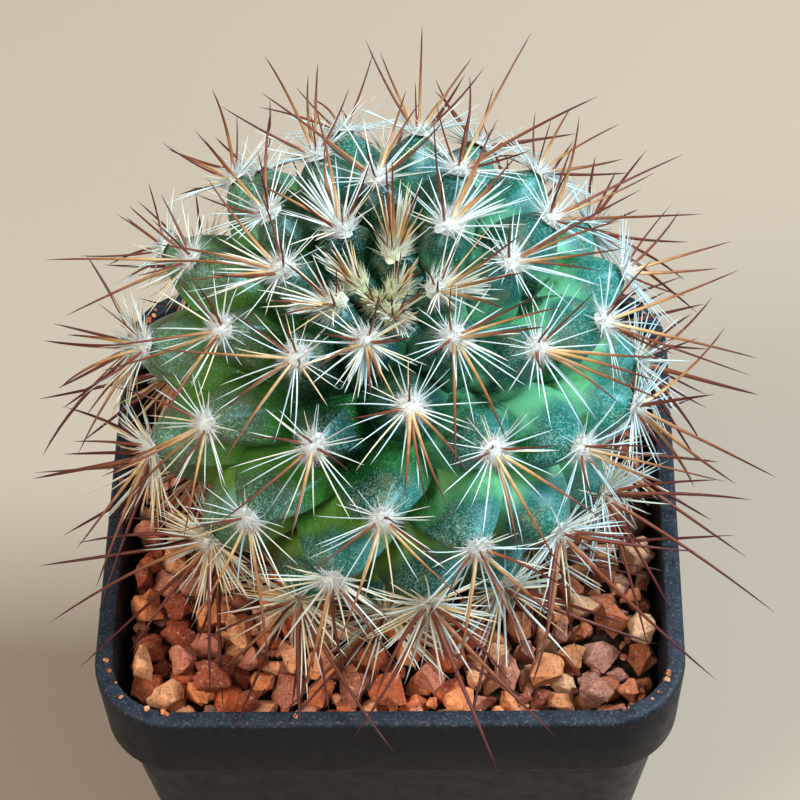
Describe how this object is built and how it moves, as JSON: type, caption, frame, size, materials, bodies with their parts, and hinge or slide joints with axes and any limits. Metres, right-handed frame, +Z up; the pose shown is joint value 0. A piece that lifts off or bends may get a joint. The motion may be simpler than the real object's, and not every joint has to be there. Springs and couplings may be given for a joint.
{
  "type": "potted globe cactus",
  "caption": "Globe cactus with spiral tubercles and spine clusters, in a square plastic nursery pot with gravel on its soil.",
  "frame": {"origin": "centre of the pot's flat underside", "axes": "+Z up, front towards -Y where the plant leans, sides of the pot along X and Y"},
  "size_m": [0.0952, 0.0948, 0.1303],
  "materials": {
    "pot_plastic": "black moulded plastic, satin, a little dusty on the rim",
    "soil": "dark crumbly potting soil",
    "gravel": "matte angular terracotta gravel with peach and grey grains",
    "stem_skin": "green waxy skin with a blue-grey bloom on the tubercles",
    "spine": "white radial spines, long central spines straw to dark red-brown",
    "young_wool": "cream wool and bristles of the crown"
  },
  "bodies": {
    "root": {"pot": "pot_plastic", "potting_soil": "soil", "gravel_bed": "gravel", "gravel_stone_01": "gravel", "gravel_stone_02": "gravel", "gravel_stone_03": "gravel", "gravel_stone_04": "gravel", "gravel_stone_05": "gravel", "gravel_stone_06": "gravel", "cactus_stem": "stem_skin", "crown_tuft": "young_wool", "spine_cluster_01": "spine", "spine_cluster_02": "spine", "spine_cluster_03": "spine", "spine_cluster_04": "spine", "spine_cluster_05": "spine", "spine_cluster_06": "spine", "spine_cluster_07": "spine", "spine_cluster_08": "spine", "spine_cluster_09": "spine", "spine_cluster_10": "spine", "spine_cluster_11": "spine", "spine_cluster_12": "spine", "spine_cluster_13": "spine", "spine_cluster_14": "spine", "spine_cluster_15": "spine", "spine_cluster_16": "spine", "spine_cluster_17": "spine", "spine_cluster_18": "spine", "spine_cluster_19": "spine", "spine_cluster_20": "spine", "spine_cluster_21": "spine", "spine_cluster_22": "spine", "spine_cluster_23": "spine", "spine_cluster_24": "spine", "spine_cluster_25": "spine", "spine_cluster_26": "spine", "spine_cluster_27": "spine", "spine_cluster_28": "spine", "spine_cluster_29": "spine", "spine_cluster_30": "spine", "spine_cluster_31": "spine", "spine_cluster_32": "spine", "spine_cluster_33": "spine", "spine_cluster_34": "spine", "spine_cluster_35": "spine", "spine_cluster_36": "spine", "spine_cluster_37": "spine", "spine_cluster_38": "spine", "spine_cluster_39": "spine", "spine_cluster_40": "spine", "spine_cluster_41": "spine", "spine_cluster_42": "spine", "spine_cluster_43": "spine", "spine_cluster_44": "spine", "spine_cluster_45": "spine", "spine_cluster_46": "spine", "spine_cluster_47": "spine", "spine_cluster_48": "spine", "spine_cluster_49": "spine"}
  },
  "joints": []
}
